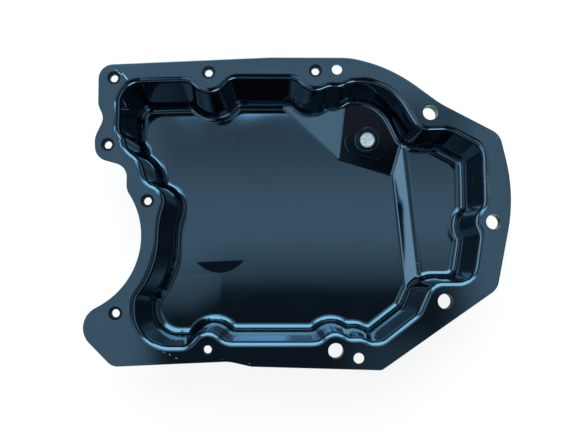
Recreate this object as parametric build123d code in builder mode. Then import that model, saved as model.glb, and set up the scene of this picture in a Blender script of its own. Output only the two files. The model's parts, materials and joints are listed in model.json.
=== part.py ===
"""Engine oil pan: a deep steel pressing with a scalloped wall, a sloped drain facet
and a raised shelf, its drain nut and plug, and the sleeves in its bolt holes.

The pan stands on its floor, open side up. X runs along the pan, Y across it.
The origin is under the middle of the flange, at the level of the pan's bottom.
"""

import math
import os

from build123d import *

# Driving dimensions, in millimetres and degrees
sheet = 2.0                 # thickness of the steel
depth = 65.0                # flange top to the inside of the sump floor
wall_draft = 5.5            # lean of the tub's wall
pan_length = 367.0          # flange, from the tip on the left to the right edge
pan_width = 271.5           # flange, from the bottom edge to the top edge
plan_length = 367.0         # the plan on which the places below are given
plan_width = 271.5
lip_round = 5.0             # top of the wall, where the flange turns down
floor_round = 6.5           # inside the corner of wall and floor
crease_round = 6.0          # inside the corners of the facets in the floor
ridge_round = 8.0           # under the folds of the shelf and the facet
scallop_blend = 14.0        # where a scallop runs into the wall
waist_round = 80.0          # wall below the third hole, into the band round the notch
waist_at = (-120.0, -10.0)
edge_round = 0.6            # rolled edge of the blanked flange

# Clearance notch at the left end, and the band of flange left round it
notch_at = (-203.6, -22.8)
notch_r = 67.5
notch_land = 15.1
notch_blend = 14.0
tip_round = 18.5

# Bolt holes with a sleeve: place, and radius of the scallop round each
sleeve_holes = [
    (-162.7, 116.8, 0.0),
    (-166.5, 57.5, 15.0),
    (-131.2, 8.3, 14.9),
    (-156.5, -87.8, 0.0),
    (-78.0, -118.3, 15.4),
    (-79.7, 121.9, 17.8),
    (14.2, 123.6, 17.6),
]

# Wide holes over a spacer tube, and plain holes: place, and scallop radius
spacer_holes = [
    (114.7, 86.4, 14.5),
    (167.6, -9.6, 15.5),
    (124.4, -77.8, 15.5),
    (30.6, -119.4, 15.9),
]
plain_holes = [
    (33.1, 124.8, 15.5),
    (50.0, -125.6, 17.6),
]
plain_hole_r = 4.5

# Black sleeves in the bolt holes
sleeve_r = 5.8
sleeve_bore_r = 3.4
sleeve_play = 0.05          # hole in the flange over the sleeve, each side
sleeve_drop = 0.8           # rim below the top of the flange
sleeve_length = 4.0
sleeve_collar_r = 7.2
sleeve_collar = 1.5
sleeve_mouth = 1.0          # depth of the lobed mouth
lobes = 6
lobe_reach = 1.4            # how far the lobes stand out from the bore

# Spacer tubes welded under the flange
spacer_bore_r = 6.5
spacer_r = 9.6
spacer_length = 9.0
spacer_chamfer = 0.5

# Raised shelf on the right, above a sloped strip of floor
shelf_rise = 11.5
strip_width = 12.5
strip_at = (94.5, 0.0)      # lower edge of the strip, at the floor
strip_angle = -84.5         # direction of the strip, from +X

# Sloped facet that carries the drain, and its flank
facet_tilt = 17.5
facet_foot = (39.3, 55.9)   # left end of the facet's lower edge, at the floor
facet_heading = -16.8       # direction of the lower edge, from +X
flank_heading = 136.7       # direction of the flank's lower edge, from +X
flank_tilt = 21.4
drain_along = 20.5          # drain axis, along the lower edge from its left end
drain_up = 26.6             # drain axis, up the facet from its lower edge

# Half-moon coined into the floor, deepest at its round edge
moon_at = (-73.6, -41.4)    # middle of its straight edge
moon_heading = 2.4          # direction of the straight edge, from +X
moon_width = 45.0
moon_reach = 11.0           # straight edge to the farthest point of the round edge
moon_depth = 0.8

# Weld nut, plug and sealing washer
nut_r = 22.0
nut_flat = 16.2             # centre to each of the three flats
nut_flat_angle = 15.0       # direction of the first flat
nut_thickness = 4.0
nut_chamfer = 0.5
collar_r = 11.8
collar_height = 6.0
mouth_r = 9.9               # wide end of the countersunk thread
thread_r = 7.0
thread_gap = 0.05
drain_hole_r = 7.8
plug_collar_r = 9.5
plug_collar = 3.0
plug_length = 12.0          # shank above the collar
plug_chamfer = 1.2
plug_collar_chamfer = 0.6
socket_across = 6.0
socket_depth = 5.0
seal_r = 9.0
seal_thickness = 1.5
seal_gap = 0.3              # bore of the washer over the shank, each side
seal_play = 0.05            # washer to the collar of the plug

# Tolerances for telling edges and faces apart
same_place = 0.01
same_way = 0.02             # sine of the angle between two directions

# Derived heights
flange_top = sheet + depth
flange_under = flange_top - sheet
reach = 2 * pan_length      # long enough to cross the whole pan

# Stretch of the plan to the pan's own length and width, and of the radii on it
stretch_x = pan_length / plan_length
stretch_y = pan_width / plan_width
stretch_r = min(stretch_x, stretch_y)

# Corners of the flange: x, y and radius, clockwise from the top left
side_lean = 12.0            # half of the right side's sweep
side_r = 150.0
side_x = 183.5 + side_r * (1 / math.cos(math.radians(side_lean)) - 1)
flange_corners = [
    (-176.3, 128.6, 13.0),
    (-26.0, 135.75, 150.0),
    (45.0, 135.75, 60.0),
    (80.9, 126.9, 130.0),
    (123.4, 94.9, 80.0),
    (175.3, 67.3, 16.0),
    (side_x, 13.8, side_r),
    (169.4, -67.3, 15.0),
    (69.5, -135.75, 6.0),
    (-41.0, -132.6, 15.0),
    (-60.0, -128.4, 30.0),
    (-158.3, -132.6, 12.0),
    (-214.1, -77.3, 0.0),
    (-149.6, -20.0, 0.0),
    (-149.6, 38.2, 12.2),
    (-176.8, 45.9, 12.5),
    (-178.4, 63.3, 20.0),
    (-170.4, 80.9, 12.0),
    (-175.9, 92.7, 15.0),
]

# Corners of the tub's mouth before the scallops are cut: x, y and radius, clockwise
mouth_corners = [
    (-157.0, 112.7, 18.0),
    (-82.2, 114.8, 0.0),
    (-77.2, 116.9, 0.0),
    (13.8, 116.9, 0.0),
    (15.8, 113.8, 0.0),
    (79.2, 113.8, 44.0),
    (104.2, 70.5, 16.0),
    (131.2, 71.2, 20.0),
    (160.1, 55.6, 14.0),
    (160.1, -6.0, 0.0),
    (157.6, -12.0, 0.0),
    (149.0, -61.0, 15.0),
    (112.8, -61.0, 16.7),
    (100.8, -87.5, 14.0),
    (69.3, -111.6, 12.0),
    (-76.2, -111.6, 0.0),
    (-80.2, -115.3, 0.0),
    (-139.9, -115.4, 30.0),
    (-139.9, 18.0, 0.0),
    (-130.7, 19.2, 0.0),
    (-137.9, 44.6, 20.0),
    (-154.2, 57.5, 0.0),
    (-157.0, 65.2, 0.0),
]


def placed(x, y, *rest):
    """A place on the plan, stretched to the pan's length and width, with what follows it."""
    return (x * stretch_x, y * stretch_y, *rest)


def slope(at, heading, rise):
    """A plane through a point, climbing to the left of its heading."""
    turn = math.radians(heading)
    climb = math.radians(rise)
    uphill = Vector(-math.sin(turn), math.cos(turn), 0)
    normal = Vector(0, 0, math.cos(climb)) - uphill * math.sin(climb)
    return Plane(origin=at, x_dir=(math.cos(turn), math.sin(turn), 0), z_dir=normal)


# Planes that the floor is pressed to
strip_foot = placed(*strip_at, sheet)
strip_plane = slope(strip_foot, strip_angle, math.degrees(math.atan2(shelf_rise, strip_width)))
shelf_plane = slope(strip_foot, strip_angle, 0).offset(shelf_rise)
shelf_edge = shelf_plane.from_local_coords((0, strip_width, 0))
facet_end = Plane(
    origin=shelf_plane.from_local_coords((0, strip_width + ridge_round, 0)),
    z_dir=shelf_plane.y_dir,
)
facet_corner = placed(*facet_foot, sheet)
facet_plane = slope(facet_corner, facet_heading, facet_tilt)
flank_plane = slope(facet_corner, flank_heading + 180, flank_tilt)
drain_plane = Plane(
    origin=facet_plane.from_local_coords((drain_along, drain_up, 0)),
    x_dir=facet_plane.x_dir,
    z_dir=facet_plane.z_dir,
)
drain_axis = Axis(drain_plane.origin, drain_plane.z_dir)
moon_tilt = math.degrees(math.atan2(moon_depth, moon_reach))
moon_plane = slope(placed(*moon_at, sheet), moon_heading, moon_tilt)
moon_r = (moon_width ** 2 / 4 + moon_reach ** 2) / (2 * moon_reach)


def outline(corners):
    """A closed outline through corners of the plan, each rounded by its own radius."""
    points = [placed(x, y) for x, y, r in corners]
    radii = [r * stretch_r for x, y, r in corners]
    return FilletPolyline(*points, radius=radii, close=True)


def sharp_corners(vertices, edges):
    """The corners of an outline, without the points where it already runs on smoothly."""
    found = ShapeList()
    for vertex in vertices:
        at = Vector(*vertex)
        tangents = []
        for edge in edges:
            for end in (0, 1):
                if (edge.position_at(end) - at).length < same_place:
                    tangents.append(edge.tangent_at(end))
        if tangents[0].cross(tangents[1]).length > same_way:
            found.append(vertex)
    return found


def creases_and_rim(faces):
    """Edges where two facets of a plug's bottom meet, and edges round the whole bottom."""
    bottom = faces.filter_by(lambda face: face.normal_at().Z < -0.5)
    creases = ShapeList()
    rim = ShapeList()
    for count, face in enumerate(bottom):
        for edge in face.edges():
            middle = edge.position_at(0.5)
            others = [other for other in bottom if other != face and edge in other.edges()]
            if not others:
                rim.append(edge)
            elif others[0] in bottom[:count]:
                bend = face.normal_at(middle).cross(others[0].normal_at(middle))
                if bend.length > same_way:
                    creases.append(edge)
    return creases, rim


def raised(first, second, fold, skin):
    """What lies under two planes, with the fold between them rounded."""
    with BuildPart() as block:
        with BuildSketch(first.offset(-skin)):
            Rectangle(reach, reach)
        extrude(amount=-reach)
        with BuildSketch(second.offset(-skin)):
            Rectangle(reach, reach)
        extrude(amount=-reach, mode=Mode.INTERSECT)
        fillet(block.edges().sort_by_distance(fold)[0], radius=ridge_round + sheet - skin)
    return block.part


def tub(skin):
    """The tub as a solid plug: its hollow when skin is 0, its outside when skin is the sheet."""
    shelf = raised(shelf_plane, strip_plane, shelf_edge, skin)
    facet = raised(facet_plane, flank_plane, facet_corner, skin)
    facet = split(facet, bisect_by=facet_end, keep=Keep.BOTTOM)
    lean = math.radians(wall_draft)
    with BuildPart() as plug:
        with BuildSketch(Plane.XY.offset(flange_top)) as mouth:
            with BuildLine():
                outline(mouth_corners)
            make_face()
            with Locations(placed(*notch_at)):
                Circle((notch_r + notch_land) * stretch_r, mode=Mode.SUBTRACT)
            for x, y, scallop_r in sleeve_holes + spacer_holes + plain_holes:
                if scallop_r:
                    with Locations(placed(x, y)):
                        Circle(scallop_r * stretch_r, mode=Mode.SUBTRACT)
            corners = sharp_corners(mouth.vertices(), mouth.edges())
            fillet(corners.sort_by_distance(placed(*waist_at))[0], radius=waist_round * stretch_r)
            fillet(sharp_corners(mouth.vertices(), mouth.edges()), radius=scallop_blend * stretch_r)
        extrude(amount=-depth - skin)
        walls = plug.faces().filter_by(lambda face: abs(face.normal_at().Z) < 0.5)
        draft(walls, Plane.XY.offset(flange_top - skin / math.sin(lean)), -wall_draft)
        add(shelf, mode=Mode.SUBTRACT)
        add(facet, mode=Mode.SUBTRACT)
        creases, rim = creases_and_rim(plug.faces())
        fillet(creases, radius=crease_round + skin)
        creases, rim = creases_and_rim(plug.faces())
        fillet(rim, radius=floor_round + skin)
    return plug.part


def on_level(faces, level):
    """The largest of the faces that lie flat at one height."""
    flat = faces.filter_by(Axis.Z).filter_by_position(Axis.Z, level - same_place, level + same_place)
    return flat.sort_by(SortBy.AREA)[-1]


# Pan body: one pressing with its flange, its tub and its holes
hollow = tub(0)
outside = tub(sheet)
with BuildPart() as pan_body:
    with BuildSketch(Plane.XY.offset(flange_under)) as flange:
        with BuildLine():
            outline(flange_corners)
        make_face()
        with Locations(placed(*notch_at)):
            Circle(notch_r * stretch_r, mode=Mode.SUBTRACT)
        for radius in (tip_round, notch_blend):
            lowest = sharp_corners(flange.vertices(), flange.edges()).sort_by(Axis.Y)[0]
            fillet(lowest, radius=radius)
    extrude(amount=sheet)
    fillet(on_level(pan_body.faces(), flange_top).outer_wire().edges(), radius=edge_round)
    add(outside)
    fillet(on_level(pan_body.faces(), flange_under).inner_wires()[0].edges(), radius=lip_round - sheet)
    add(hollow, mode=Mode.SUBTRACT)
    fillet(on_level(pan_body.faces(), flange_top).inner_wires()[0].edges(), radius=lip_round)
    for holes, radius in (
        (sleeve_holes, sleeve_r + sleeve_play),
        (spacer_holes, spacer_bore_r),
        (plain_holes, plain_hole_r),
    ):
        with Locations([placed(x, y, flange_top) for x, y, scallop_r in holes]):
            Hole(radius, depth=sheet)
    with Locations(drain_plane):
        Hole(drain_hole_r, depth=sheet)
    with BuildSketch(moon_plane):
        with Locations((0, moon_r - moon_reach)):
            Circle(moon_r)
        with Locations((0, moon_r)):
            Rectangle(2 * moon_r, 2 * moon_r, mode=Mode.SUBTRACT)
    extrude(amount=2 * moon_depth, mode=Mode.SUBTRACT)

# Weld nut: a plate with three flats and a turned collar, flat on the facet
with BuildPart() as drain_weld_nut:
    with BuildSketch(drain_plane):
        Circle(nut_r)
        with PolarLocations(2 * nut_r, 3, start_angle=nut_flat_angle - facet_heading):
            Rectangle(4 * nut_r - 2 * nut_flat, 4 * nut_r, mode=Mode.SUBTRACT)
    extrude(amount=nut_thickness)
    top_face = drain_weld_nut.faces().sort_by(drain_axis)[-1]
    chamfer(top_face.edges(), length=nut_chamfer)
    with BuildSketch(drain_plane):
        Circle(collar_r)
    extrude(amount=collar_height)
    with Locations(drain_plane.offset(collar_height)):
        CounterSinkHole(thread_r + thread_gap, mouth_r, depth=collar_height)

# Sealing washer, between the pan and the collar of the plug
seal_plane = drain_plane.offset(-sheet - seal_thickness)
with BuildPart() as drain_plug_seal:
    with BuildSketch(seal_plane):
        Circle(seal_r)
        Circle(thread_r + seal_gap, mode=Mode.SUBTRACT)
    extrude(amount=seal_thickness)

# Drain plug: a shank with a round collar and a hexagon socket
collar_plane = seal_plane.offset(-seal_play)
with BuildPart() as drain_plug:
    with BuildSketch(collar_plane):
        Circle(plug_collar_r)
    extrude(amount=-plug_collar)
    with BuildSketch(collar_plane):
        Circle(thread_r)
    extrude(amount=plug_length)
    ends = drain_plug.edges().filter_by(GeomType.CIRCLE).sort_by(drain_axis)
    chamfer(ends[-1], length=plug_chamfer)
    chamfer(ends[0], length=plug_collar_chamfer)
    with BuildSketch(collar_plane.offset(-plug_collar)):
        RegularPolygon(radius=socket_across / 2, side_count=6, major_radius=False)
    extrude(amount=socket_depth, mode=Mode.SUBTRACT)

# Bolt sleeves, their collars under the flange and a lobed mouth
sleeves = []
for x, y, scallop_r in sleeve_holes:
    sleeve_top = Plane(placed(x, y, flange_top - sleeve_drop))
    with BuildPart() as bolt_sleeve:
        with BuildSketch(sleeve_top):
            Circle(sleeve_r)
        extrude(amount=-sleeve_length)
        with BuildSketch(Plane(placed(x, y, flange_under))):
            Circle(sleeve_collar_r)
        extrude(amount=-sleeve_collar)
        with BuildSketch(sleeve_top):
            Circle(sleeve_bore_r)
            with PolarLocations(sleeve_bore_r, lobes):
                Circle(lobe_reach)
        extrude(amount=-sleeve_mouth, mode=Mode.SUBTRACT)
        with Locations(sleeve_top):
            Hole(sleeve_bore_r)
    sleeves.append(bolt_sleeve)

# Spacer tubes, welded to the underside of the flange
spacers = []
for x, y, scallop_r in spacer_holes:
    with BuildPart() as spacer_sleeve:
        with BuildSketch(Plane(placed(x, y, flange_under))):
            Circle(spacer_r)
            Circle(spacer_bore_r, mode=Mode.SUBTRACT)
        extrude(amount=-spacer_length)
        ring = spacer_sleeve.edges().sort_by(Axis.Z)[:2]
        chamfer(ring, length=spacer_chamfer)
    spacers.append(spacer_sleeve)

# Labels and files
os.makedirs("parts", exist_ok=True)
pan_body.part.label = "pan_body"
export_step(pan_body.part, "parts/pan_body.step")
drain_weld_nut.part.label = "drain_weld_nut"
export_step(drain_weld_nut.part, "parts/drain_weld_nut.step")
drain_plug_seal.part.label = "drain_plug_seal"
export_step(drain_plug_seal.part, "parts/drain_plug_seal.step")
drain_plug.part.label = "drain_plug"
export_step(drain_plug.part, "parts/drain_plug.step")
for number, sleeve in enumerate(sleeves, start=1):
    sleeve.part.label = f"bolt_sleeve_{number}"
    export_step(sleeve.part, f"parts/bolt_sleeve_{number}.step")
for number, spacer in enumerate(spacers, start=1):
    spacer.part.label = f"spacer_sleeve_{number}"
    export_step(spacer.part, f"parts/spacer_sleeve_{number}.step")
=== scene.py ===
"""Looks of the engine oil pan: glossy black coat on pressed steel, its hardware, a pale studio
and a camera over the open side. Metres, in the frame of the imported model."""

import json
import math

import bpy
from mathutils import Matrix, Vector


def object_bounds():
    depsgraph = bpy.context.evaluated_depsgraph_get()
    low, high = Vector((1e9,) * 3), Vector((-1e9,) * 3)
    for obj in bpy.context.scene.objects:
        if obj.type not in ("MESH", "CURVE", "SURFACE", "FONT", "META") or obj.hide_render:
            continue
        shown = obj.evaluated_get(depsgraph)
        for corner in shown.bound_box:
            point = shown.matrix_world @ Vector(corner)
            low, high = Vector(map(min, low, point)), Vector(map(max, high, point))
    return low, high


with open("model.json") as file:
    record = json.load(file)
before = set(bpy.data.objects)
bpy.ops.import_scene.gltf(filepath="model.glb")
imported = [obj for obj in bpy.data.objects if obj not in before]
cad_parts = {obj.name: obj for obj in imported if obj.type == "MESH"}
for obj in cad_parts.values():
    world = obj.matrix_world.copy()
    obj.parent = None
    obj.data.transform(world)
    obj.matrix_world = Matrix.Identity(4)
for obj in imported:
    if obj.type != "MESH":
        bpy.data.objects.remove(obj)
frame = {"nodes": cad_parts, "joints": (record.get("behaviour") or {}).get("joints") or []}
cad_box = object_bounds()
nodes = frame["nodes"]

# Camera: a pinhole over the flange, worked out from the photograph. IMAGE, FOCAL and NADIR, the
# pixel straight below the camera, are in pixels of the photograph. The others are in metres,
# the sensor in millimetres
IMAGE = (577, 433)
FOCAL = 700.0
NADIR = (282.0, 285.0)
CAMERA_AT = Vector((-0.0151, -0.0639, 0.667))
SENSOR_WIDTH = 36.0
CLIP_NEAR = 0.01
CLIP_FAR = 50.0

# Floor: size and drop below the pan in metres, its grey, and its share of white for the camera
FLOOR_SIZE = 8.0
FLOOR_DROP = 0.0002
FLOOR_GREY = 0.9
FLOOR_GLOW = 0.85

# The room that the pan mirrors. A direction has a height z (1 straight up), slopes u = x / z and
# v = y / z, and a heading, its part along +X (east) and +Y (north) on the level. Near the level
# the slopes divide by LOWEST_Z, and near straight up the heading divides by the root of
# LEAST_FLAT. A ramp is given as (none, full) and a band as (start, full, fade, end)
LOWEST_Z = 0.05
LEAST_FLAT = 0.0001

# Walls: their level, and what they gain toward +X and toward +Y
WALL_LEVEL = 0.32
WALL_EAST_GAIN = -0.10
WALL_NORTH_GAIN = 0.08

# Pale ceiling right above
CEILING_LEVEL = 1.06
CEILING_U = (-0.36, -0.29, 0.325, 0.36)
CEILING_V = (-0.5, -0.3, 0.32, 0.40)
CEILING_Z = (0.5, 0.8)

# Dark shape overhead toward -Y: its reach, a step in its edge at the left, then the soft rim and
# the shape itself, each a ramp down over v and a share taken from the ceiling
DARK_U = (-0.21, -0.16, 0.22, 0.30)
DARK_Z = (0.45, 0.7)
STEP_U = (-0.07, -0.14)
STEP_DEPTH = 0.024
RIM_V = (0.078, 0.018)
RIM_SHARE = 0.42
SHAPE_V = (0.026, -0.016)
SHAPE_SHARE = 0.90

# Shade on the ceiling toward +Y
SHADE_U = (-0.21, -0.15, 0.24, 0.30)
SHADE_V = (0.10, 0.225, 0.25, 0.29)
SHADE_SHARE = 0.48

# Lights round the room: band of height, the way each lies (its parts along +X and +Y), how far
# a heading must reach that way, and the level. They lie toward -X, high between -X and -Y,
# toward +X, toward -Y, and small and bright between -Y and +X
ROOM_LIGHTS = (
    ((0.01, 0.06, 0.46, 0.66), (-1.0, 0.0), (0.6, 0.92), 2.5),
    ((0.68, 0.76, 0.88, 0.93), (-1.0, -1.0), (1.10, 1.32), 1.25),
    ((0.03, 0.10, 0.30, 0.45), (1.0, 0.0), (0.6, 0.95), 1.0),
    ((0.0, 0.06, 0.12, 0.25), (0.0, -1.0), (0.6, 0.9), 0.8),
    ((0.10, 0.16, 0.30, 0.40), (0.383, -0.924), (0.955, 0.99), 9.0),
)

# Haze over the dark shape's right side
HAZE_U = (0.06, 0.14, 0.30, 0.5)
HAZE_V = (-0.3, -0.2, -0.10, -0.05)
HAZE_LEVEL = 0.25

# Cool window toward +Y: for its upper and its lower part, the band of height and how far a
# heading must reach north
WINDOW_LEVEL = 6.0
WINDOW_TINT = (0.76, 1.03, 1.0)
WINDOW_PARTS = (
    ((0.36, 0.46, 0.88, 0.94), (0.74, 0.88)),
    ((0.12, 0.20, 0.36, 0.46), (0.93, 0.98)),
)

# Blue strip lamp, placed so that no flat face mirrors it to the camera, only walls and blends:
# its top edge is higher in the middle, and a dim gap runs along it
STRIP_LEVEL = 9.0
STRIP_TINT = (0.80, 1.0, 1.22)
STRIP_U = (-0.17, -0.14, 0.11, 0.14)
STRIP_V = (0.248, 0.255)
STRIP_TOP = 0.264
STRIP_TOP_FADE = (0.006, -0.004)
STRIP_MIDDLE_U = (-0.085, -0.07, 0.0, 0.015)
STRIP_MIDDLE_RISE = 0.018
STRIP_GAP_V = (0.262, 0.266, 0.268, 0.272)
STRIP_GAP_SHARE = 0.55

# Warm glow in the lower half of the dark shape
WARM_LEVEL = 0.18
WARM_TINT = (1.0, 0.45, 0.50)
WARM_V = (-0.42, -0.375, -0.34, -0.30)

# Coat: its colour, its mirror strength and tint, the colour of worn spots and the nut's rounding
COAT_COLOR = (0.001, 0.002, 0.004)
COAT_IOR = 2.0
# Painted reflection colour: the blue of the studio light is put into the coat's mirror tint, not
# into the lamps
COAT_PAINTED_REFLECTION_TINT = (0.33, 0.66, 1.0, 1.0)
WORN_COLOR = (0.30, 0.42, 0.52)
NUT_ROUNDING = 0.0006

# Wear on the flange: each stroke's two ends in pixels of the photograph, and its width in metres
SCRATCHES = (
    ((111.5, 65.5), (117.5, 71.0), 0.00028),
    ((118.5, 69.5), (123.5, 75.5), 0.00055),
    ((352.0, 76.5), (356.0, 78.0), 0.00035),
    ((360.0, 78.0), (366.0, 80.5), 0.00030),
    ((368.5, 79.5), (371.0, 82.5), 0.00045),
    ((374.0, 79.0), (377.0, 82.0), 0.00030),
    ((241.0, 74.4), (248.0, 74.5), 0.00022),
    ((256.0, 74.5), (264.0, 74.6), 0.00022),
    ((273.0, 74.5), (290.0, 74.7), 0.00022),
    ((165.0, 350.6), (166.5, 351.2), 0.00025),
    ((171.0, 353.0), (172.0, 353.5), 0.00025),
    ((177.5, 356.4), (179.0, 357.0), 0.00022),
)
SMUDGE = ((489.5, 176.0), (490.5, 194.0), 0.0020)
STROKE_CORE = 0.45          # share of a stroke's width that is solid
WEAR_DEPTHS = (0.0012, 0.0004)  # metres under the flange's face where wear begins and is full
BREAK_SCALE = 900.0         # breaks along the strokes
BREAK_RANGE = (0.32, 0.5)
RUB_SCALE = 1600.0          # grain of the smudge
RUB_DETAIL = 4.0
RUB_RANGE = (0.50, 0.62)
RUB_SHARE = 0.16

# Dust specks: one in the cells of a Voronoi pattern whose random value passes the pick
SPECK_SCALE = 260.0
SPECK_PICK = (0.895, 0.905)
SPECK_GROWTH = (0.90, 1.0)
SPECK_SIZE = 0.085
SPECK_EDGE = 0.015
SPECK_SHARE = 0.6

# Gloss of the coat: plain roughness, then what soft patches and worn spots add
COAT_ROUGH = 0.045
PATCH_SCALE = 22.0
PATCH_DETAIL = 4.0
PATCH_RANGE = (0.40, 0.70)
PATCH_ROUGH = 0.035
WORN_ROUGH = 0.45

# Relief of the coat, in metres: press waves, orange peel and the depth of worn spots
WAVE_SCALE = 14.0
WAVE_DETAIL = 1.0
WAVE_HEIGHT = 0.00012
PEEL_SCALE = 420.0
PEEL_HEIGHT = 0.0000012
WORN_DEPTH = 0.00001

# The faint fold in the floor, from the half-moon toward -Y: its line, where it starts, its
# slope, how soft its edge is, and the levels it fades between (metres, the tilt as a slope)
FOLD_X = -0.0722
FOLD_TOP = -0.0535
FOLD_TILT = 0.006
FOLD_SOFT = 0.0010
FOLD_LEVELS = (0.0045, 0.0030)

# Sleeves: matt black, slightly grained
SLEEVE_COLOR = (0.002, 0.003, 0.004)
SLEEVE_DARK = (0.001, 0.0015, 0.002)
SLEEVE_LIGHT = (0.003, 0.004, 0.005)
SLEEVE_IOR = 1.45
SLEEVE_MIRROR = 0.25
# Painted reflection colour: the blue of the studio light is put into the sleeves' mirror tint
SLEEVE_PAINTED_REFLECTION_TINT = (0.45, 0.70, 1.0, 1.0)
SLEEVE_PATCH_SCALE = 260.0
SLEEVE_PATCH_RANGE = (0.35, 0.7)
SLEEVE_GRAIN_SCALE = 1500.0
SLEEVE_GRAIN_DETAIL = 3.0
SLEEVE_GRAIN_HEIGHT = 0.00001
SLEEVE_ROUGH = 0.22
SLEEVE_GRAIN_ROUGH = 0.2
SLEEVE_ROUNDING = 0.0003

# Metals: dark and light colour, metalness, roughness, and the height of the turned rings
PLUG_ZINC = ((0.42, 0.62, 0.72), (0.80, 0.92, 1.0), 0.55, 0.45, 0.000004)
SEAL_ALUMINIUM = ((0.50, 0.51, 0.53), (0.66, 0.67, 0.69), 1.0, 0.35, 0.000002)
RING_PITCH = 0.00045
METAL_CLOUD_SCALE = 420.0
METAL_CLOUD_DETAIL = 3.0
METAL_CLOUD_RANGE = (0.35, 0.68)
METAL_DULL_SCALE = 900.0
METAL_DULL_SHARE = 0.2
METAL_GRAIN_SCALE = 1300.0
METAL_GRAIN_DETAIL = 3.0
METAL_GRAIN_HEIGHT = 0.00002

BEVEL_SAMPLES = 8


class Graph:
    """Short calls that add nodes to one node tree and return their output sockets."""

    def __init__(self, tree):
        self.tree = tree

    def feed(self, value, socket):
        """Links a socket, or sets a plain value."""
        if isinstance(value, bpy.types.NodeSocket):
            self.tree.links.new(value, socket)
        else:
            socket.default_value = value

    def add(self, kind, inputs=(), output=0, **settings):
        """A new node with its settings and inputs, given as one of its outputs."""
        node = self.tree.nodes.new(kind)
        for key, value in settings.items():
            setattr(node, key, value)
        for key, value in dict(inputs).items():
            self.feed(value, node.inputs[key])
        return node.outputs[output]

    def math(self, operation, first, second=0.0):
        return self.add("ShaderNodeMath", {0: first, 1: second}, operation=operation)

    def ramp(self, value, low, high):
        """0 where the value is on low's side, 1 on high's side, smooth between."""
        inputs = {"Value": value, "From Min": low, "From Max": high}
        return self.add("ShaderNodeMapRange", inputs, interpolation_type="SMOOTHSTEP")

    def band(self, value, start, full, fade, end):
        """1 between full and fade, 0 outside start and end."""
        return self.math("MULTIPLY", self.ramp(value, start, full), self.ramp(value, end, fade))

    def product(self, *factors):
        result = factors[0]
        for factor in factors[1:]:
            result = self.math("MULTIPLY", result, factor)
        return result

    def total(self, *terms):
        result = terms[0]
        for term in terms[1:]:
            result = self.math("ADD", result, term)
        return result

    def without(self, share):
        """What is left of 1 when the share is taken off."""
        return self.math("SUBTRACT", 1.0, share)

    def vector(self, operation, first, second=(0.0, 0.0, 0.0), output=0):
        inputs = {0: first, 1: second}
        return self.add("ShaderNodeVectorMath", inputs, output=output, operation=operation)

    def noise(self, place, scale, detail=2.0):
        inputs = {"Vector": place, "Scale": scale, "Detail": detail}
        return self.add("ShaderNodeTexNoise", inputs)

    def stroke(self, place, start, end, width):
        """1 on the stroke from start to end, 0 beyond its width."""
        way = end - start
        offset = self.vector("SUBTRACT", place, start)
        along = self.vector("DOT_PRODUCT", offset, way / way.length_squared, output=1)
        along = self.math("MINIMUM", self.math("MAXIMUM", along, 0.0), 1.0)
        inputs = {0: way, "Scale": along}
        nearest = self.add("ShaderNodeVectorMath", inputs, operation="SCALE")
        gap = self.vector("LENGTH", self.vector("SUBTRACT", offset, nearest), output=1)
        return self.ramp(gap, width, width * STROKE_CORE)

    def split(self, vector):
        """The three parts of a vector."""
        return self.add("ShaderNodeSeparateXYZ", {0: vector}).node.outputs[:3]

    def join(self, parts):
        """A vector of three parts."""
        return self.add("ShaderNodeCombineXYZ", dict(enumerate(parts)))

    def blend(self, share, first, second):
        """The first colour where share is 0, the second where it is 1."""
        node = self.add("ShaderNodeMix", data_type="RGBA").node
        for key, value in (("Factor_Float", share), ("A_Color", first), ("B_Color", second)):
            self.feed(value, next(s for s in node.inputs if s.identifier == key))
        return next(s for s in node.outputs if s.identifier == "Result_Color")


def add_camera():
    """A camera at the photograph's place, tilted so that straight down is at the nadir pixel."""
    down = Vector(
        (
            (NADIR[0] - IMAGE[0] / 2) / FOCAL,
            (IMAGE[1] / 2 - NADIR[1]) / FOCAL,
            -1.0,
        )
    ).normalized()
    up = -down
    right = Vector((1, 0, 0))
    right = (right - up * right.dot(up)).normalized()
    back = up.cross(right)
    data = bpy.data.cameras.new("camera")
    data.sensor_fit = "HORIZONTAL"
    data.sensor_width = SENSOR_WIDTH
    data.lens = FOCAL / IMAGE[0] * data.sensor_width
    data.clip_start = CLIP_NEAR
    data.clip_end = CLIP_FAR
    camera = bpy.data.objects.new("camera", data)
    bpy.context.scene.collection.objects.link(camera)
    camera.matrix_world = Matrix.Translation(CAMERA_AT) @ Matrix((right, back, up)).to_4x4()
    bpy.context.scene.camera = camera


def add_floor():
    """A pale floor that goes white for the camera, keeps a soft shadow and is clear from below."""
    bpy.ops.mesh.primitive_plane_add(size=FLOOR_SIZE, location=(0, 0, -FLOOR_DROP))
    floor = bpy.context.object
    floor.name = "floor"
    material = bpy.data.materials.new("floor_white")
    material.use_nodes = True
    tree = material.node_tree
    tree.nodes.clear()
    g = Graph(tree)
    share = g.product(g.add("ShaderNodeLightPath", output="Is Camera Ray"), FLOOR_GLOW)
    matt = g.add("ShaderNodeBsdfDiffuse", {"Color": (FLOOR_GREY, FLOOR_GREY, FLOOR_GREY, 1.0)})
    glow = g.add("ShaderNodeEmission", {"Strength": 1.0})
    top = g.add("ShaderNodeMixShader", {0: share, 1: matt, 2: glow})
    from_below = g.add("ShaderNodeNewGeometry", output="Backfacing")
    clear = g.add("ShaderNodeBsdfTransparent", {"Color": (1.0, 1.0, 1.0, 1.0)}, output="BSDF")
    surface = g.add("ShaderNodeMixShader", {0: from_below, 1: top, 2: clear})
    result = tree.nodes.new("ShaderNodeOutputMaterial")
    tree.links.new(surface, result.inputs["Surface"])
    floor.data.materials.append(material)


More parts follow.
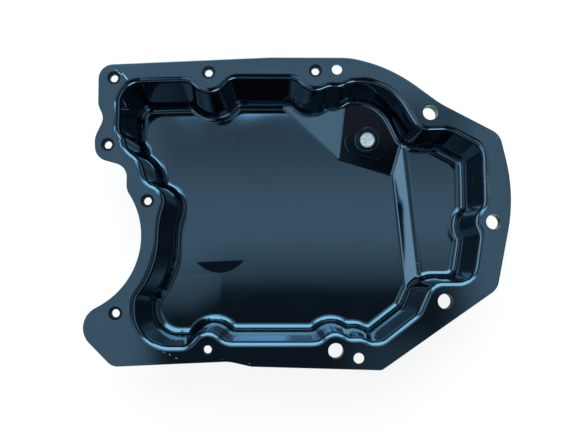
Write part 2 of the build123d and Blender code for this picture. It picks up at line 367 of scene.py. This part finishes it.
def add_world():
    """The room by direction: walls, a ceiling, a dark shape, lights, a window and a strip lamp."""
    world = bpy.data.worlds.new("studio")
    world.use_nodes = True
    g = Graph(world.node_tree)
    x, y, z = g.split(g.add("ShaderNodeTexCoord", output="Generated"))
    height = g.math("MAXIMUM", z, LOWEST_Z)
    u = g.math("DIVIDE", x, height)
    v = g.math("DIVIDE", y, height)
    flat = g.math("SQRT", g.math("MAXIMUM", g.without(g.product(z, z)), LEAST_FLAT))
    east = g.math("DIVIDE", x, flat)
    north = g.math("DIVIDE", y, flat)

    # The walls of the room, and the pale ceiling right above
    gain = g.total(g.product(east, WALL_EAST_GAIN), g.product(north, WALL_NORTH_GAIN))
    walls = g.total(WALL_LEVEL, gain)
    panel = g.product(g.band(u, *CEILING_U), g.band(v, *CEILING_V), g.ramp(z, *CEILING_Z))
    light = g.total(walls, g.product(panel, g.math("SUBTRACT", CEILING_LEVEL, walls)))

    # What is dark overhead: a soft rim, the shape inside it, and a shade toward +Y
    reach = g.product(g.band(u, *DARK_U), g.ramp(z, *DARK_Z))
    edge = g.total(v, g.product(g.ramp(u, *STEP_U), STEP_DEPTH))
    rim = g.product(g.ramp(edge, *RIM_V), reach, RIM_SHARE)
    shape = g.product(g.ramp(edge, *SHAPE_V), reach, SHAPE_SHARE)
    shade = g.product(g.band(v, *SHADE_V), g.band(u, *SHADE_U), SHADE_SHARE)
    for dark in (rim, shape, shade):
        light = g.product(light, g.without(dark))

    # Lights of no colour: those round the room, and the haze
    for heights, way, fade, level in ROOM_LIGHTS:
        heading = g.total(g.product(east, way[0]), g.product(north, way[1]))
        light = g.total(light, g.product(g.band(z, *heights), g.ramp(heading, *fade), level))
    light = g.total(light, g.product(g.band(u, *HAZE_U), g.band(v, *HAZE_V), HAZE_LEVEL))

    # Coloured lights: the window, the strip lamp and the warm glow
    parts = (g.product(g.band(z, *heights), g.ramp(north, *fade)) for heights, fade in WINDOW_PARTS)
    window = g.product(g.total(*parts), WINDOW_LEVEL)
    rise = g.product(g.band(u, *STRIP_MIDDLE_U), STRIP_MIDDLE_RISE)
    over_top = g.math("SUBTRACT", v, g.total(STRIP_TOP, rise))
    strip = g.product(
        g.ramp(v, *STRIP_V),
        g.ramp(over_top, *STRIP_TOP_FADE),
        g.band(u, *STRIP_U),
        g.without(g.product(g.band(v, *STRIP_GAP_V), STRIP_GAP_SHARE)),
        STRIP_LEVEL,
    )
    warm = g.product(g.band(v, *WARM_V), reach, WARM_LEVEL)
    tints = zip(WINDOW_TINT, STRIP_TINT, WARM_TINT)
    room = g.join(
        g.total(light, g.product(window, cool), g.product(strip, blue), g.product(warm, brown))
        for cool, blue, brown in tints
    )

    # Plain white where the camera looks past the floor
    seen = g.add("ShaderNodeLightPath", output="Is Camera Ray")
    color = g.blend(seen, room, g.join((1.0, 1.0, 1.0)))
    background = world.node_tree.nodes["Background"]
    world.node_tree.links.new(color, background.inputs["Color"])
    background.inputs["Strength"].default_value = 1.0
    bpy.context.scene.world = world


def on_flange(pixel):
    """The point of the flange's face, in metres, that the photograph shows at a pixel."""
    level = cad_box[1][2]
    pixel_size = (CAMERA_AT.z - level) / FOCAL
    return Vector(
        (
            CAMERA_AT.x + (pixel[0] - NADIR[0]) * pixel_size,
            CAMERA_AT.y + (NADIR[1] - pixel[1]) * pixel_size,
            level,
        )
    )


def principled(name, color, **values):
    """A new material with a Principled shader, its plain values set on the shader's sockets."""
    material = bpy.data.materials.new(name)
    material.use_nodes = True
    shader = material.node_tree.nodes["Principled BSDF"]
    shader.inputs["Base Color"].default_value = (*color, 1.0)
    for key, value in values.items():
        shader.inputs[key.replace("_", " ")].default_value = value
    return material


def paint(material, g, height, rounding=0.0, **sockets):
    """Puts the painted values on the material's shader, with a relief of the given height.

    Height and rounding are in metres. A rounding softens sharp edges in the shading.
    """
    shader = material.node_tree.nodes["Principled BSDF"]
    for key, socket in sockets.items():
        material.node_tree.links.new(socket, shader.inputs[key.replace("_", " ")])
    inputs = {"Height": height, "Distance": 1.0, "Strength": 1.0}
    if rounding:
        inputs["Normal"] = g.add("ShaderNodeBevel", {"Radius": rounding}, samples=BEVEL_SAMPLES)
    bump = g.add("ShaderNodeBump", inputs)
    material.node_tree.links.new(bump, shader.inputs["Normal"])


def make_coat(name, rounding=0.0):
    """Glossy black paint: faint waves, dust specks, scratches, a smudge and the floor's fold."""
    # The mirror tint paints the studio light's blue into the coat's reflections
    material = principled(name, COAT_COLOR, IOR=COAT_IOR, Specular_Tint=COAT_PAINTED_REFLECTION_TINT)
    g = Graph(material.node_tree)
    place = g.add("ShaderNodeTexCoord", output="Object")
    x, y, z = g.split(place)

    # Scratches and the smudge, on the flange's face only
    face = g.ramp(z, *(cad_box[1][2] - depth for depth in WEAR_DEPTHS))
    scratched = 0.0
    for start, end, width in SCRATCHES:
        mark = g.stroke(place, on_flange(start), on_flange(end), width)
        scratched = g.math("MAXIMUM", scratched, mark)
    scratched = g.product(scratched, face, g.ramp(g.noise(place, BREAK_SCALE), *BREAK_RANGE))
    start, end, width = SMUDGE
    rubbed = g.product(g.stroke(place, on_flange(start), on_flange(end), width), face)
    rubbed = g.product(rubbed, g.ramp(g.noise(place, RUB_SCALE, RUB_DETAIL), *RUB_RANGE))

    # Dust specks of several sizes, here and there
    inputs = {"Vector": place, "Scale": SPECK_SCALE}
    cells = g.add("ShaderNodeTexVoronoi", inputs, output="Distance")
    pick = g.split(cells.node.outputs["Color"])[0]
    size = g.product(g.ramp(pick, *SPECK_GROWTH), SPECK_SIZE)
    dot = g.ramp(g.math("SUBTRACT", cells, size), SPECK_EDGE, -SPECK_EDGE)
    specks = g.product(dot, g.ramp(pick, *SPECK_PICK))

    faint = g.math("MAXIMUM", g.product(specks, SPECK_SHARE), g.product(rubbed, RUB_SHARE))
    worn = g.math("MAXIMUM", scratched, faint)
    color = g.blend(worn, (*COAT_COLOR, 1.0), (*WORN_COLOR, 1.0))

    # Gloss: a little duller in soft patches and on worn spots
    patch = g.ramp(g.noise(place, PATCH_SCALE, PATCH_DETAIL), *PATCH_RANGE)
    rough = g.total(COAT_ROUGH, g.product(patch, PATCH_ROUGH), g.product(worn, WORN_ROUGH))

    # Relief: press waves, orange peel, worn spots and the floor's fold
    waves = g.product(g.noise(place, WAVE_SCALE, WAVE_DETAIL), WAVE_HEIGHT)
    peel = g.product(g.noise(place, PEEL_SCALE), PEEL_HEIGHT)
    cut = g.product(worn, -WORN_DEPTH)
    beside = g.ramp(x, FOLD_X + FOLD_SOFT, FOLD_X - FOLD_SOFT)
    reach = g.math("MAXIMUM", g.math("SUBTRACT", FOLD_TOP, y), 0.0)
    fold = g.product(reach, g.ramp(z, *FOLD_LEVELS), beside, FOLD_TILT)
    height = g.total(waves, peel, cut, fold)
    paint(material, g, height, rounding, Base_Color=color, Roughness=rough)
    return material


def make_moulded():
    """Black matt sleeve, slightly grained."""
    material = principled(
        "sleeve_black",
        SLEEVE_COLOR,
        IOR=SLEEVE_IOR,
        Specular_IOR_Level=SLEEVE_MIRROR,
        # the mirror tint paints the studio light's blue into the sleeve's reflections
        Specular_Tint=SLEEVE_PAINTED_REFLECTION_TINT,
    )
    g = Graph(material.node_tree)
    place = g.add("ShaderNodeTexCoord", output="Object")
    grain = g.noise(place, SLEEVE_GRAIN_SCALE, SLEEVE_GRAIN_DETAIL)
    patch = g.ramp(g.noise(place, SLEEVE_PATCH_SCALE), *SLEEVE_PATCH_RANGE)
    color = g.blend(patch, (*SLEEVE_DARK, 1.0), (*SLEEVE_LIGHT, 1.0))
    rough = g.total(SLEEVE_ROUGH, g.product(grain, SLEEVE_GRAIN_ROUGH))
    height = g.product(grain, SLEEVE_GRAIN_HEIGHT)
    paint(material, g, height, SLEEVE_ROUNDING, Base_Color=color, Roughness=rough)
    return material


def make_metal(name, low, high, metal, dull, turned):
    """Plated metal with clouded colour and fine turned rings about the plug's line."""
    material = principled(name, high, Metallic=metal)
    g = Graph(material.node_tree)
    place = g.add("ShaderNodeTexCoord", output="Object")
    joint = next(j for j in frame["joints"] if j["name"] == "drain_plug_turn")
    centre, axis = Vector(joint["pos_m"]), Vector(joint["axis"]).normalized()
    offset = g.vector("SUBTRACT", place, centre)
    radius = g.vector("LENGTH", g.vector("CROSS_PRODUCT", offset, axis), output=1)
    rings = g.math("SINE", g.product(radius, 2 * math.pi / RING_PITCH))
    cloud = g.ramp(g.noise(place, METAL_CLOUD_SCALE, METAL_CLOUD_DETAIL), *METAL_CLOUD_RANGE)
    color = g.blend(cloud, (*low, 1.0), (*high, 1.0))
    rough = g.total(dull, g.product(g.noise(place, METAL_DULL_SCALE), METAL_DULL_SHARE))
    grain = g.noise(place, METAL_GRAIN_SCALE, METAL_GRAIN_DETAIL)
    height = g.total(g.product(rings, turned), g.product(grain, METAL_GRAIN_HEIGHT))
    paint(material, g, height, Base_Color=color, Roughness=rough)
    return material


add_camera()
add_floor()
add_world()

coat = make_coat("pan_coat")
nut_coat = make_coat("nut_coat", NUT_ROUNDING)
moulded = make_moulded()
plug_metal = make_metal("plug_zinc", *PLUG_ZINC)
seal_metal = make_metal("seal_aluminium", *SEAL_ALUMINIUM)
for name, node in nodes.items():
    material = coat
    if name.startswith(("bolt_sleeve", "spacer_sleeve")):
        material = moulded
    elif name == "drain_weld_nut":
        material = nut_coat
    elif name == "drain_plug":
        material = plug_metal
    elif name == "drain_plug_seal":
        material = seal_metal
    node.data.materials.clear()
    node.data.materials.append(material)

bpy.context.scene.view_settings.view_transform = "Standard"
